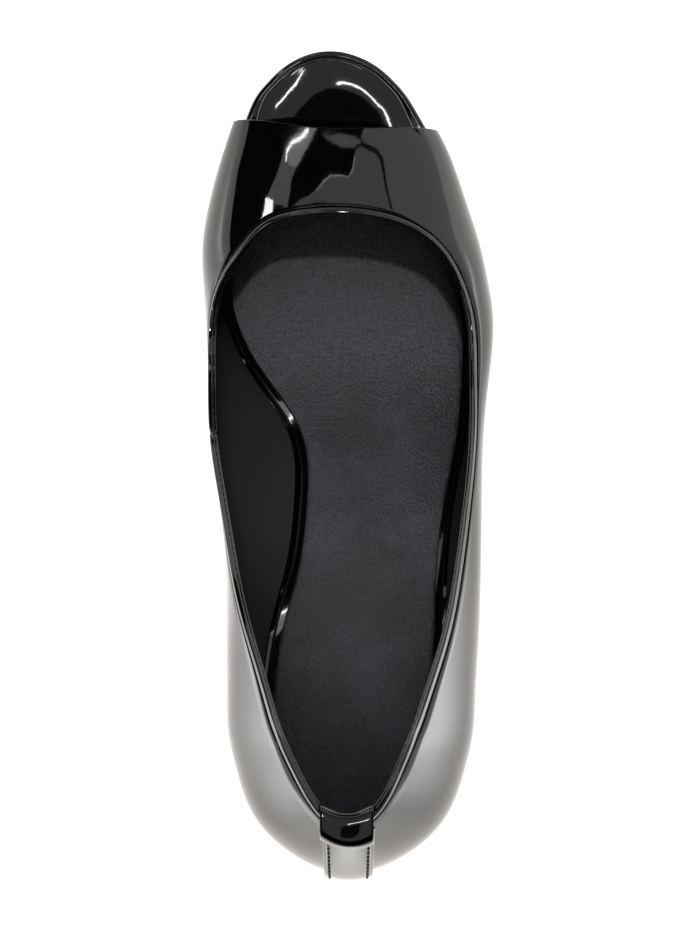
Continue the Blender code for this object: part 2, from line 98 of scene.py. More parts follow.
def spline(knots, values, flat_ends=False):
    """A smooth curve through values at knots; its ends are level, or else free to lean."""
    order = np.argsort(knots)
    x = np.asarray(knots, float)[order]
    y = np.asarray(values, float)[order]
    h = np.diff(x)
    slope = np.diff(y) / h
    n = len(x)
    matrix = np.zeros((n, n))
    right = np.zeros(n)
    for i in range(1, n - 1):
        matrix[i, i - 1:i + 2] = h[i - 1], 2 * (h[i - 1] + h[i]), h[i]
        right[i] = 6 * (slope[i] - slope[i - 1])
    matrix[0, 0] = matrix[-1, -1] = 1.0
    if flat_ends:
        matrix[0, :2] = 2 * h[0], h[0]
        matrix[-1, -2:] = h[-1], 2 * h[-1]
        right[0], right[-1] = 6 * slope[0], -6 * slope[-1]
    bend = np.linalg.solve(matrix, right)

    def at(t):
        t = np.clip(np.asarray(t, float), x[0], x[-1])
        i = np.clip(np.searchsorted(x, t) - 1, 0, n - 2)
        a = (x[i + 1] - t) / h[i]
        b = 1 - a
        curve = ((a**3 - a) * bend[i] + (b**3 - b) * bend[i + 1]) * h[i] ** 2 / 6
        return a * y[i] + b * y[i + 1] + curve

    return at


def last_curves(columns, rows, unit):
    """A curve over the reach for each column, in metres or radians."""
    return {
        name: spline(REACHES, np.array(values) * unit[name], flat_ends=name != "turn")
        for name, values in zip(columns, zip(*rows))
    }


PLAN_UNITS = dict.fromkeys(PLAN_COLUMNS, BALL_WIDTH / 100)
PLAN_UNITS.update(along=LENGTH / 100, turn=math.pi / 180)
LAST = last_curves(PLAN_COLUMNS[1:], [row[1:] for row in PLAN], PLAN_UNITS)


def outline(columns, steps, first_reach=TIP_REACH):
    """A plan outline from the front, down the arch side to the back and up the other side."""
    share = (1 - np.cos(np.linspace(0, math.pi, steps + 1))) / 2
    evened = 0.5 * share + 0.5 * np.linspace(0, 1, steps + 1)
    reach = first_reach + (BACK_REACH - first_reach) * evened
    halves = []
    for side, column in zip((IN, OUT), columns):
        out, turn = LAST[column](reach), LAST["turn"](reach)
        x = LAST["spine"](reach) + side * out * np.cos(turn)
        halves.append(np.stack([x, LAST["along"](reach) + out * np.sin(turn)], axis=-1))
    closed_front = first_reach == TIP_REACH
    return np.concatenate([halves[0], halves[1][-2:(0 if closed_front else None):-1]])


def grown(ring, distance):
    """The outline moved outwards by distance, or inwards where it is negative."""
    tangent = np.roll(ring, -1, axis=0) - np.roll(ring, 1, axis=0)
    tangent /= np.linalg.norm(tangent, axis=1, keepdims=True)
    return ring + distance * np.stack([tangent[:, 1], -tangent[:, 0]], axis=-1)


def raised(ring, height_of, lift):
    """The plan outline in space, lift above the profile height_of."""
    return np.column_stack([ring[:, 0], ring[:, 1] - MIDDLE, height_of(ring[:, 1]) + lift])


def slab_sections(rings, columns, under=None, over=None):
    """Cross sections from front to back through outlines that run up a slab's edge.

    under and over give the relief of its two broad faces from x, y and the share of the width.
    """
    back = len(rings[0]) // 2
    closed_front = len(rings[0]) % 2 == 0
    partner = -np.arange(back + 1) - (0 if closed_front else 1)
    share = np.linspace(0, 1, columns + 1)
    faces = []
    for ring, relief in ((rings[0], under), (rings[-1], over)):
        inner, outer = ring[:back + 1, None], ring[partner][:, None]
        face = inner + (outer - inner) * share[None, :, None]
        if relief:
            face[..., 2] += relief(face[..., 0], face[..., 1], share)
        faces.append(face)
    outer_edge = [ring[partner][:, None] for ring in rings[1:-1]]
    inner_edge = [ring[:back + 1, None] for ring in rings[-2:0:-1]]
    return np.concatenate([faces[0], *outer_edge, faces[1][:, ::-1], *inner_edge], axis=1)


def new_piece(name, sections, material, loop=False):
    """A closed mesh through sections, rings of equally many points; a loop has no first and last one."""
    rows, columns = sections.shape[:2]
    index = np.arange(rows * columns).reshape(rows, columns)
    here = index if loop else index[:-1]
    ahead = np.roll(index, -1, axis=0) if loop else index[1:]
    faces = np.stack([here, ahead, np.roll(ahead, -1, axis=1), np.roll(here, -1, axis=1)], axis=-1)
    mesh = bpy.data.meshes.new(name)
    mesh.from_pydata(sections.reshape(-1, 3).tolist(), [], faces.reshape(-1, 4).tolist())
    shape = bmesh.new()
    shape.from_mesh(mesh)
    bmesh.ops.remove_doubles(shape, verts=shape.verts, dist=0.001 * MM)
    bmesh.ops.holes_fill(shape, edges=[edge for edge in shape.edges if edge.is_boundary])
    bmesh.ops.recalc_face_normals(shape, faces=shape.faces)
    shape.to_mesh(mesh)
    shape.free()
    mesh.shade_smooth()
    mesh.set_sharp_from_angle(angle=math.radians(50))
    mesh.materials.append(material)
    piece = bpy.data.objects.new(name, mesh)
    bpy.context.scene.collection.objects.link(piece)
    return piece


def linear(code):
    """An sRGB hex colour as linear red, green, blue and alpha."""
    parts = [int(code[i:i + 2], 16) / 255 for i in (1, 3, 5)]
    return (*[p / 12.92 if p <= 0.04045 else ((p + 0.055) / 1.055) ** 2.4 for p in parts], 1.0)


def add_node(tree, kind, settings=None, links=None):
    """Adds a shader node, with its inputs, properties or colour stops set and its inputs linked by name."""
    node = tree.nodes.new(kind)
    for name, value in (settings or {}).items():
        if name == "stops":
            for stop, (place, colour) in zip(node.color_ramp.elements, value):
                stop.position, stop.color = place, colour
        elif name in node.inputs:
            node.inputs[name].default_value = value
        else:
            setattr(node, name, value)
    for name, socket in (links or {}).items():
        tree.links.new(socket, node.inputs[name])
    return node


def new_material(name):
    """(material, its node tree, its shader, object coordinates in metres)."""
    material = bpy.data.materials.new(name)
    material.use_nodes = True
    tree = material.node_tree
    place = add_node(tree, "ShaderNodeTexCoord").outputs["Object"]
    return material, tree, tree.nodes["Principled BSDF"], place


def floor_height(along):
    """The underside: flat under heel and ball, a low arch between them and a sprung toe."""
    percent = along / LENGTH * 100
    spring = np.clip((percent - BALL_TREAD_END) / (100 - BALL_TREAD_END), 0, 1.2) ** 2 * TOE_SPRING
    share = np.clip((percent - HEEL_TREAD_END) / (BALL_TREAD_START - HEEL_TREAD_END), 0, 1)
    return spring + ARCH_RISE * np.sin(math.pi * share) ** 2


def tread_relief(x, y, share):
    """Grooves across the heel and ball, cut up into the sheet so that the ribs stand on the floor."""
    percent = (y + MIDDLE) / LENGTH * 100
    heel = np.clip((percent - TREAD_BACK) / TREAD_RAMP, 0, 1)
    heel = heel * np.clip((HEEL_TREAD_END - percent) / TREAD_RAMP, 0, 1)
    ball = np.clip((percent - BALL_TREAD_START) / TREAD_RAMP, 0, 1)
    ball = ball * np.clip((TREAD_FRONT - percent) / TREAD_TOE_RAMP, 0, 1)
    inside = np.clip((0.5 - np.abs(share - 0.5) - TREAD_BORDER) / TREAD_FADE, 0, 1)
    bowed = y + TREAD_BOW * (share - 0.5) ** 2 * 4
    groove = np.clip(GROOVE_STEEP * np.cos(2 * math.pi * bowed / TREAD_PITCH) - GROOVE_NARROW, 0, 1)
    return TREAD_DEPTH * groove * inside * np.maximum(heel, ball)


# Moulded rubber: dull black, with the fine frosted grit of the mould.
RUBBER_GRIT = 0.5 * MM
RUBBER_DUST = 18.0 * MM
rubber, tree, shader, place = new_material("moulded_rubber")
grit = add_node(tree, "ShaderNodeTexNoise", {"Scale": 1 / RUBBER_GRIT, "Detail": 4}, {"Vector": place})
dust = add_node(tree, "ShaderNodeTexNoise", {"Scale": 1 / RUBBER_DUST, "Detail": 5}, {"Vector": place})
tone = add_node(tree, "ShaderNodeValToRGB", {"stops": ((0.35, linear("#141415")), (0.75, linear("#1f1f20")))},
                {"Fac": dust.outputs["Fac"]})
bump = add_node(tree, "ShaderNodeBump", {"Strength": 0.5, "Distance": 0.08 * MM},
                {"Height": grit.outputs["Fac"]})
shader.inputs["Roughness"].default_value = 0.72
shader.inputs["IOR"].default_value = 1.52
tree.links.new(tone.outputs["Color"], shader.inputs["Base Color"])
tree.links.new(bump.outputs["Normal"], shader.inputs["Normal"])

tread = outline(("tread_in", "tread_out"), 620)
rings = [
    raised(grown(tread, -OUTSOLE_INSET - inset * MM), floor_height, lift * MM)
    for inset, lift in OUTSOLE_EDGE
]
outsole = new_piece("moulded_outsole", slab_sections(rings, 24, under=tread_relief), rubber)
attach(outsole, "root")
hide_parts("outsole")

# Wedge: platform and wedge heel in one block, wrapped in patent leather that is rolled over its top edge.
# It is glued to the outsole, and its rim stands a little out past the upper.
HEEL_HEIGHT = 86.5 * MM  # floor to the feather edge at the back
PLATFORM = 16.0 * MM  # floor to the feather edge under the ball
GAP = 0.3 * MM  # between two pieces that are glued or sewn together
RIM_LEDGE = 1.2 * MM
RIM_ROUND = 1.6 * MM
WEDGE_FOOT_ROUND = 0.7 * MM
WEDGE_FOOT_LEVEL = 0.008  # share of its height at which the rounded foot ends
WEDGE_FLARE = 0.4  # how much of its spread from foot to rim comes late
FEATHER_COLUMNS = ("feather_in", "feather_out")  # half widths at the feather edge, % of BALL_WIDTH
FEATHER = (
    (16.2, 16.2), (17.0, 17.0), (19.7, 20.2), (22.3, 22.8), (26.4, 26.7), (32.9, 33.1), (39.4, 38.4),
    (44.9, 42.8), (45.5, 45.1), (35.4, 44.6), (21.1, 43.0), (19.9, 37.3), (23.0, 33.1), (28.6, 31.8),
    (30.9, 31.6), (33.6, 34.0), (39.5, 39.5), (44.6, 44.6), (48.2, 48.2),
)
LAST.update(last_curves(FEATHER_COLUMNS, FEATHER, dict.fromkeys(FEATHER_COLUMNS, BALL_WIDTH / 100)))
# The seat, which the foot stands on: % of LENGTH, and height in % of the rise from ball to heel.
SEAT = (
    (1.0, 100.0), (11.4, 94.3), (21.9, 83.7), (32.5, 66.0), (43.0, 42.6), (53.6, 19.9),
    (64.1, 5.0), (74.7, 0.0), (85.2, 1.1), (93.7, 5.7), (100.0, 11.3),
)
seat_curve = spline([along * LENGTH / 100 for along, rise in SEAT], [rise / 100 for along, rise in SEAT])


def seat_height(along):
    """The height of the feather edge over the floor."""
    return PLATFORM + (HEEL_HEIGHT - PLATFORM) * seat_curve(along)


# Patent leather: black leather under a thick clear lacquer, a wet gloss with a faint flow in the film.
LACQUER_FLOW = 5.0 * MM
LACQUER_PEEL = 1.6 * MM
patent, tree, shader, place = new_material("patent_leather")
flow = add_node(tree, "ShaderNodeTexNoise", {"Scale": 1 / LACQUER_FLOW, "Detail": 3}, {"Vector": place})
peel = add_node(tree, "ShaderNodeTexNoise", {"Scale": 1 / LACQUER_PEEL, "Detail": 2}, {"Vector": place})
tone = add_node(tree, "ShaderNodeValToRGB", {"stops": ((0.3, linear("#060607")), (0.8, linear("#0a0a0b")))},
                {"Fac": flow.outputs["Fac"]})
gloss = add_node(tree, "ShaderNodeMapRange", {"To Min": 0.03, "To Max": 0.07}, {"Value": flow.outputs["Fac"]})
bump = add_node(tree, "ShaderNodeBump", {"Strength": 0.3, "Distance": 0.02 * MM},
                {"Height": peel.outputs["Fac"]})
shader.inputs["IOR"].default_value = 1.5
shader.inputs["Coat Weight"].default_value = 0.35
shader.inputs["Coat Roughness"].default_value = 0.02
shader.inputs["Coat IOR"].default_value = 1.5
tree.links.new(tone.outputs["Color"], shader.inputs["Base Color"])
tree.links.new(gloss.outputs["Result"], shader.inputs["Roughness"])
tree.links.new(bump.outputs["Normal"], shader.inputs["Normal"])

tread = outline(("tread_in", "tread_out"), 200)
feather = outline(FEATHER_COLUMNS, 200)
foot = raised(tread, floor_height, OUTSOLE_GAUGE + GAP)
brow = raised(grown(feather, RIM_LEDGE), seat_height, -RIM_ROUND)
rings = [raised(grown(tread, -WEDGE_FOOT_ROUND), floor_height, OUTSOLE_GAUGE + GAP)]
for level in np.linspace(WEDGE_FOOT_LEVEL, 1, 26):
    ring = foot + (brow - foot) * ((1 - WEDGE_FLARE) * level + WEDGE_FLARE * level**2)
    ring[:, 2] = foot[:, 2] + (brow[:, 2] - foot[:, 2]) * level
    rings.append(ring)
for turn in np.radians(np.linspace(0, 90, 9)[1:]):
    edge = grown(feather, RIM_LEDGE - RIM_ROUND * (1 - math.cos(turn)))
    rings.append(raised(edge, seat_height, RIM_ROUND * (math.sin(turn) - 1)))
wedge = new_piece("wrapped_wedge", slab_sections(rings, 16), patent)
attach(wedge, "root")
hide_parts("wedge")

# Footbed: an insole board wrapped in the same patent leather, glued on the wedge. Its rolled edge shows in
# the open toe and along the waist, beside the sock.
WALL = 1.8 * MM  # patent leather and lining of the upper, which the footbed stays clear of
FOOTBED_INSET = WALL + 0.5 * MM
FOOTBED_GAUGE = 3.0 * MM
FOOTBED_ROUND = 0.8 * MM
FOOTBED_CROWN, FOOTBED_PAD = 0.7 * MM, 9.0 * MM  # height of the padding, and how far in it rises
TIP_CROWN, TIP_PAD = 0.55 * MM, 3.0 * MM  # how much more of both it has in the open toe
TIP_START, TIP_FULL = 86.0, 96.0  # % of LENGTH between which it gets them
FOOTBED_REACH = 1.0 * MM  # how much further out it comes in the open toe, where no upper stands beside it
REACH_START, REACH_FULL = 91.0, 95.0  # % of LENGTH between which it comes out

percent = feather[:, 1] / LENGTH * 100
clear = np.clip((percent - REACH_START) / (REACH_FULL - REACH_START), 0, 1)[:, None]
rings = []
for turn in np.radians(np.linspace(-60, 90, 16)):
    inset = FOOTBED_INSET - FOOTBED_REACH * clear + FOOTBED_ROUND * (1 - math.cos(turn))
    lift = GAP + FOOTBED_GAUGE * (0.5 + 0.5 * math.sin(turn))
    rings.append(raised(grown(feather, -inset), seat_height, lift))
footbed_edge = rings[-1]


def footbed_crown(x, y, share):
    """The padding under the wrap, which falls away towards the rolled edge."""
    away = np.hypot(x[..., None] - footbed_edge[:, 0], y[..., None] - footbed_edge[:, 1]).min(axis=-1)
    tip = np.clip(((y + MIDDLE) / LENGTH * 100 - TIP_START) / (TIP_FULL - TIP_START), 0, 1)
    tip = tip**2 * (3 - 2 * tip)
    crown, pad = FOOTBED_CROWN + TIP_CROWN * tip, FOOTBED_PAD + TIP_PAD * tip
    return crown * (1 - (1 - np.clip(away / pad, 0, 1)) ** 2)


footbed = new_piece("wrapped_footbed", slab_sections(rings, 44, over=footbed_crown), patent)
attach(footbed, "root")
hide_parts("footbed")

# Sock: a soft fine-grained leather lining stuck on the footbed, from the heel to under the vamp, with a cut
# edge that lies thin on the patent wrap.
SOCK_INSET = 2.2 * MM
SOCK_FRONT = 82.5  # % of LENGTH
SOCK_EDGE = ((0.0, 0.0), (0.0, 0.55), (0.12, 0.85), (0.4, 1.0))  # inset, lift, mm
SOCK_WAVE = 0.25 * MM  # height of the swells in the leather
SWELL_ACROSS, SWELL_ALONG, SWELL_SLANT = 9.0 * MM, 13.0 * MM, 31.0 * MM
SWELL_WANDER, SWELL_SWAY = 17.0 * MM, 1.3  # how they wander sideways
SWELL_FADE = 0.1  # share of the width over which they die out at each edge


def sock_relief(x, y, share):
    """The crown of the footbed below, and the slight unevenness of glued leather."""
    wave = np.sin(x / SWELL_ACROSS + SWELL_SWAY * np.sin(y / SWELL_WANDER))
    wave = wave * np.sin(y / SWELL_ALONG + x / SWELL_SLANT)
    fade = np.clip((0.5 - np.abs(share - 0.5)) / SWELL_FADE, 0, 1)
    return footbed_crown(x, y, share) + SOCK_WAVE * wave * fade


# Grained leather: soft dull black with a fine pebble, drawn a little coarser than life so that it shows. Its
# specks are painted glints of the grain catching the light, plain at the ball and faint at the waist and the
# heel.
SOCK_PEBBLE = 0.9 * MM
SOCK_GLINT_SPECK = 0.6 * MM
SOCK_PORE = 0.35 * MM
SOCK_CLOUD = 26.0 * MM
# Between these two lines the painted glint specks fade from plain at the ball to faint at the waist.
GLINT_WAIST_LINE, GLINT_BALL_LINE = 5.0 * MM, 30.0 * MM  # y between which the specks grow plain
grained, tree, shader, place = new_material("grained_leather")
pebble = add_node(tree, "ShaderNodeTexVoronoi", {"Scale": 1 / SOCK_PEBBLE, "feature": "SMOOTH_F1"},
                  {"Vector": place})
fine = add_node(tree, "ShaderNodeTexNoise", {"Scale": 1 / SOCK_PORE, "Detail": 3}, {"Vector": place})
cloud = add_node(tree, "ShaderNodeTexNoise", {"Scale": 1 / SOCK_CLOUD, "Detail": 4}, {"Vector": place})
height = add_node(tree, "ShaderNodeMath", {"operation": "ADD"},
                  {0: pebble.outputs["Distance"], 1: fine.outputs["Fac"]})
# Painted glints: light flecks in the colour where the grain would catch the light.
glint_speck = add_node(tree, "ShaderNodeTexNoise", {"Scale": 1 / SOCK_GLINT_SPECK, "Detail": 2}, {"Vector": place})
along = add_node(tree, "ShaderNodeSeparateXYZ", {}, {"Vector": place})
smooth = add_node(tree, "ShaderNodeMapRange",
                  {"From Min": GLINT_WAIST_LINE, "From Max": GLINT_BALL_LINE, "To Min": 0.6, "To Max": 0.15},
                  {"Value": along.outputs["Y"]})
# Mixes the leather's random tone with the painted glint specks, more of the glints towards the ball.
tone_and_glints = add_node(tree, "ShaderNodeMix", {},
                  {"Factor": smooth.outputs["Result"], "A": glint_speck.outputs["Fac"], "B": cloud.outputs["Fac"]})
tone = add_node(tree, "ShaderNodeValToRGB", {"stops": ((0.41, linear("#17151a")), (0.61, linear("#39353d")))},
                {"Fac": tone_and_glints.outputs["Result"]})
gloss = add_node(tree, "ShaderNodeMapRange", {"To Min": 0.36, "To Max": 0.5},
                 {"Value": cloud.outputs["Fac"]})
bump = add_node(tree, "ShaderNodeBump", {"Strength": 1.0, "Distance": 0.2 * MM},
                {"Height": height.outputs["Value"]})
shader.inputs["IOR"].default_value = 1.43
tree.links.new(tone.outputs["Color"], shader.inputs["Base Color"])
tree.links.new(gloss.outputs["Result"], shader.inputs["Roughness"])
tree.links.new(bump.outputs["Normal"], shader.inputs["Normal"])

sock_plan = grown(outline(FEATHER_COLUMNS, 180, SOCK_FRONT), -FOOTBED_INSET - SOCK_INSET)
rings = [
    raised(grown(sock_plan, -inset * MM), seat_height, FOOTBED_GAUGE + 2 * GAP + lift * MM)
    for inset, lift in SOCK_EDGE
]
sock = new_piece("leather_sock", slab_sections(rings, 40, under=footbed_crown, over=sock_relief), grained)
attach(sock, "root")
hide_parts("sock")

# Upper: vamp and quarters of patent leather, pulled over the last and glued down along the feather edge. A
# seam closes it on the arch side, and its edge over the toes is cut thin and plain.
INSTEP = 35.0 * MM  # crest of the vamp over the feather edge, at the throat
PATENT_GAUGE = 1.0 * MM
TENT_ROUND = 0.35  # how widely a tent is rounded off at its widest point
#   girth   half width at the widest point of the wall, % of BALL_WIDTH
#   swell, crest   heights of the widest point and of the top of the arch, % of INSTEP
#   tent    how straight the wall runs up from its widest point: 0 a round arch, 1 a tent
WALL_COLUMNS = ("girth", "swell", "crest_in", "crest_out", "tent")
WALL_ROWS = (
    (20.8, 26, 49, 49, 0.0),
    (22.0, 26, 49, 49, 0.0),
    (25.5, 26, 51, 51, 0.0),
    (28.2, 26, 53, 53, 0.0),
    (31.6, 26, 57, 57, 0.0),
    (36.8, 29, 71, 71, 0.0),
    (43.7, 30, 94, 94, 0.0),
    (48.6, 33, 114, 112, 0.0),
    (50.0, 36, 163, 110, 0.0),
    (48.2, 43, 218, 108, 0.0),
    (45.9, 51, 281, 133, 0.1),
    (43.3, 57, 289, 152, 0.3),
    (41.3, 57, 295, 170, 0.6),
    (40.2, 50, 255, 208, 1.0),
    (39.1, 47, 228, 200, 1.0),
    (39.7, 46, 222, 201, 1.0),
    (43.8, 46, 213, 200, 1.0),
    (47.4, 46, 235, 228, 1.0),
    (49.6, 46, 255, 255, 1.0),
)
WALL_UNITS = dict.fromkeys(WALL_COLUMNS, INSTEP / 100)
WALL_UNITS.update(girth=BALL_WIDTH / 100, tent=1.0)
LAST.update(last_curves(WALL_COLUMNS, WALL_ROWS, WALL_UNITS))
# The collar line: where it cuts the arch of each section, in degrees from the widest point (0) to the
# crest (90), on the arch side and on the little toe side. It meets itself at the throat.
COLLAR = (
    (-6.5, 31.3, 31.3), (0.4, 33.4, 34.4), (7.3, 35.8, 38.0), (13.2, 33.9, 37.0), (16.0, 32.8, 36.2),
    (19.0, 30.0, 33.7), (27.0, 19.3, 23.8), (35.4, 11.4, 20.4), (43.0, 7.3, 18.0), (50.6, 6.0, 17.0),
    (58.2, 8.9, 24.6), (65.8, 17.5, 31.3), (71.0, 32.0, 37.0), (74.7, 45.0, 45.2), (77.4, 57.0, 60.0),
    (78.9, 90.0, 90.0),
)
FEATHER_ANGLE, CREST_ANGLE = -90.0, 90.0
CREST_PARTS, CREST_MEETS = 70.0, 78.0  # reach between which the two crests run together, before the throat
DEGREES_TO_REACH = 0.17  # weighs the collar's angle against its reach when it is spaced out
COLLAR_KNEE = 0.78  # share of the collar that lies behind the corners of the peep edge
RIBS_BEHIND, RIBS_AHEAD, RIBS_AT_SEAM = 150, 64, 16
SEAM_SPREAD = 1.5 * MM  # how far the closer ribs reach to each side of the seam
HEM_SHARE = 0.1  # share of a rib, at its foot, that is drawn finer
PEEP_IN, PEEP_CREST, PEEP_OUT = 90.6, 88.9, 89.4  # % of LENGTH at the two sides and over the toes
PEEP_EASE = 1.5  # how late the peep edge leaves its corners
SEAM_REACH = 50.4  # where the side seam meets the collar on the arch side, % of LENGTH
SEAM_WIDTH, SEAM_DEPTH = 0.5 * MM, 0.35 * MM
EDGE_ROUND = 0.45  # how far an edge is rounded, against a half circle
VAMP_FULLNESS = 0.8 * MM  # how much the vamp bulges between the peep edge and the throat
VAMP_START = 0.06  # share of the collar over which the bulge begins
# Soft ridges (+) and troughs (-) in the vamp, mm: x and y of both ends, half width and height.
VAMP_WAVES = (
    (-14, 94, -22, 72, 5.0, 0.05), (-6, 92, -12, 70, 4.0, -0.05), (2, 90, 0, 78, 3.5, 0.05),
    (-10, 72, 4, 76, 3.0, 0.05), (8, 88, 13, 68, 4.0, -0.04), (16, 90, 20, 70, 5.0, 0.03),
)


def wall_point(reach, around):
    """A point on the outside of the upper.

    around is -90 at the feather edge on the arch side, 0 where that side is widest, 90 at the crest, 180
    where the little toe side is widest and 270 at its feather edge.
    """
    reach, around = np.broadcast_arrays(np.asarray(reach, float), np.asarray(around, float))
    outer = around > CREST_ANGLE
    angle = np.where(outer, 180 - around, around)
    at = {name: curve(reach) for name, curve in LAST.items()}
    feather = np.where(outer, at["feather_out"], at["feather_in"])
    middle = (at["crest_in"] + at["crest_out"]) / 2
    meet = np.clip((reach - CREST_PARTS) / (CREST_MEETS - CREST_PARTS), 0, 1)
    crest = np.where(outer, at["crest_out"], at["crest_in"])
    crest = crest + (middle - crest) * meet**2 * (3 - 2 * meet)
    low = np.clip(1 + angle / 90, 0, 1)
    high = np.radians(np.clip(angle, 0, 90))
    fall = np.hypot(np.sin(high), TENT_ROUND) - TENT_ROUND
    tent = 1 - fall / (math.hypot(1, TENT_ROUND) - TENT_ROUND)
    arch = at["girth"] * (np.cos(high) + (tent - np.cos(high)) * at["tent"])
    skirt = feather + (at["girth"] - feather) * (1 - (1 - low) ** 2)
    out = np.where(angle < 0, skirt, arch)
    up = np.where(angle < 0, at["swell"] * low, at["swell"] + (crest - at["swell"]) * np.sin(high))
    x = at["spine"] + np.where(outer, OUT, IN) * out * np.cos(at["turn"])
    along = at["along"] + out * np.sin(at["turn"])
    base = seat_height(at["along"] + feather * np.sin(at["turn"]))
    return np.stack([x, along - MIDDLE, base + GAP + up], axis=-1)


def unit(vectors):
    """The same directions with a length of one."""
    return vectors / np.linalg.norm(vectors, axis=-1, keepdims=True)


def wall_normal(reach, around):
    """The outward direction of the upper's outside."""
    step = 0.05
    across = wall_point(reach, around + step) - wall_point(reach, around - step)
    back = np.maximum(np.asarray(reach) - step, BACK_REACH)
    return unit(np.cross(across, wall_point(np.asarray(reach) + step, around) - wall_point(back, around)))


def collar_curve(side):
    """(reach, angle) of the collar line on one side, over its share from the back (0) to the throat (1)."""
    reach = np.array([row[0] for row in COLLAR])
    angle = np.array([row[1 if side == IN else 2] for row in COLLAR])
    steps = np.hypot(np.diff(reach), np.diff(angle) * DEGREES_TO_REACH)
    share = np.concatenate([[0], np.cumsum(steps)]) / steps.sum()
    mirrored = np.concatenate([share, 2 - share[-2::-1]])
    reach_at = spline(mirrored, np.concatenate([reach, reach[-2::-1]]))
    angle_at = spline(mirrored, np.concatenate([angle, 180 - angle[-2::-1]]), flat_ends=True)
    return reach_at, angle_at


def seam_share():
    """The share of the collar at which the side seam starts."""
    shares = np.linspace(0, COLLAR_KNEE, 400)
    return np.interp(SEAM_REACH, collar_curve(IN)[0](shares), shares)


def rib_shares(side):
    """Where the ribs of one half stand along the collar, closer together beside the seam."""
    behind = np.linspace(0, COLLAR_KNEE, RIBS_BEHIND)
    even = np.concatenate([behind, np.linspace(COLLAR_KNEE, 1, RIBS_AHEAD)[1:]])
    if side == OUT:
        return even
    beside_seam = seam_share() + np.linspace(-SEAM_SPREAD, SEAM_SPREAD, RIBS_AT_SEAM) / LENGTH
    return np.unique(np.concatenate([even, beside_seam]))


def rib_places(side):
    """(reach, around) up each rib of one half, from the feather or peep edge to the collar."""
    shares = rib_shares(side)
    edge = PEEP_IN if side == IN else PEEP_OUT
    foot_reach = BACK_REACH + (edge - BACK_REACH) * shares / COLLAR_KNEE
    past_corner = np.clip((shares - COLLAR_KNEE) / (1 - COLLAR_KNEE), 0, 1)
    foot_angle = FEATHER_ANGLE + (CREST_ANGLE - FEATHER_ANGLE) * past_corner
    over_toes = np.cos(np.clip(foot_angle / CREST_ANGLE, 0, 1) ** PEEP_EASE * math.pi / 2) ** 2
    foot_reach = np.where(past_corner > 0, PEEP_CREST + (edge - PEEP_CREST) * over_toes, foot_reach)
    reach_at, angle_at = collar_curve(side)
    up = np.concatenate([np.linspace(0, HEM_SHARE, 15), np.linspace(HEM_SHARE, 1, 34)[1:]])
    reach = np.outer(foot_reach, 1 - up) + np.outer(reach_at(shares), up)
    angle = np.outer(foot_angle, 1 - up) + np.outer(angle_at(shares), up)
    return reach, angle if side == IN else 180 - angle


def round_the_upper(of_half):
    """The rows of both halves as one closed loop: up the arch side, over the toes, back on the other."""
    return np.concatenate([of_half(IN), of_half(OUT)[-2:0:-1]])


def upper_relief(side, points):
    """How far the patent stands out from the last: its fullness, its waves and the side seam."""
    shares = rib_shares(side)[:, None]
    steps = np.linalg.norm(np.diff(points, axis=1), axis=2)
    climb = np.concatenate([np.zeros((len(points), 1)), np.cumsum(steps, axis=1)], axis=1)
    inward = np.clip((shares - COLLAR_KNEE) / VAMP_START, 0, 1)
    climbed = climb / climb[:, -1:]
    relief = VAMP_FULLNESS * 4 * climbed * (1 - climbed) * inward**2 * (3 - 2 * inward)
    for x0, y0, x1, y1, width, height in VAMP_WAVES:
        ahead = np.array([x1 - x0, y1 - y0]) * MM
        to_point = points[..., :2] - np.array([x0, y0]) * MM
        along = np.clip(to_point @ ahead / (ahead @ ahead), 0, 1)
        aside = np.linalg.norm(to_point - along[..., None] * ahead, axis=-1)
        relief = relief + inward * height * MM * np.exp(-((aside / (width * MM)) ** 2))
    if side == IN:
        away = (shares - seam_share()) * LENGTH
        relief = relief - SEAM_DEPTH * np.exp(-((away / SEAM_WIDTH) ** 2))
    return relief


def shell_sections(outer, inner, turns=9):
    """Sections of a shell between two grids of points, with rounded edges at both ends of each rib."""
    edges = []
    for end, beside, sign in ((-1, -2, 1), (0, 1, -1)):
        middle, half = (outer[:, end] + inner[:, end]) / 2, (outer[:, end] - inner[:, end]) / 2
        away = unit(outer[:, end] - outer[:, beside] + inner[:, end] - inner[:, beside])
        bulge = away * EDGE_ROUND * np.linalg.norm(half, axis=1, keepdims=True)
        edges.append(np.stack([
            middle + sign * half * math.cos(turn) + bulge * math.sin(turn)
            for turn in np.radians(np.linspace(0, 180, turns))[1:-1]
        ], axis=1))
    rim, hem = edges
    return np.concatenate([outer, rim, inner[:, ::-1], hem], axis=1)


def upper_half(side):
    """Outside and inside of the patent over one half, side by side."""
    places = rib_places(side)
    points, normal = wall_point(*places), wall_normal(*places)
    outside = points + normal * upper_relief(side, points)[..., None]
    return np.concatenate([outside, points - normal * PATENT_GAUGE], axis=2)


halves = round_the_upper(upper_half)
upper = new_piece("patent_upper", shell_sections(halves[..., :3], halves[..., 3:]), patent, loop=True)
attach(upper, "root")
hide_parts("upper")

# Lining: thin black coated textile glued to the inside of the upper, turned in at the peep edge and caught
# under the binding at the collar.
LINING_GAP = 0.05 * MM


def lining_half(side):
    """Outside and inside of the lining over one half, side by side."""
    places = rib_places(side)
    points, normal = wall_point(*places), wall_normal(*places)
    outside = points - normal * (PATENT_GAUGE + LINING_GAP)
    return np.concatenate([outside, points - normal * WALL], axis=2)


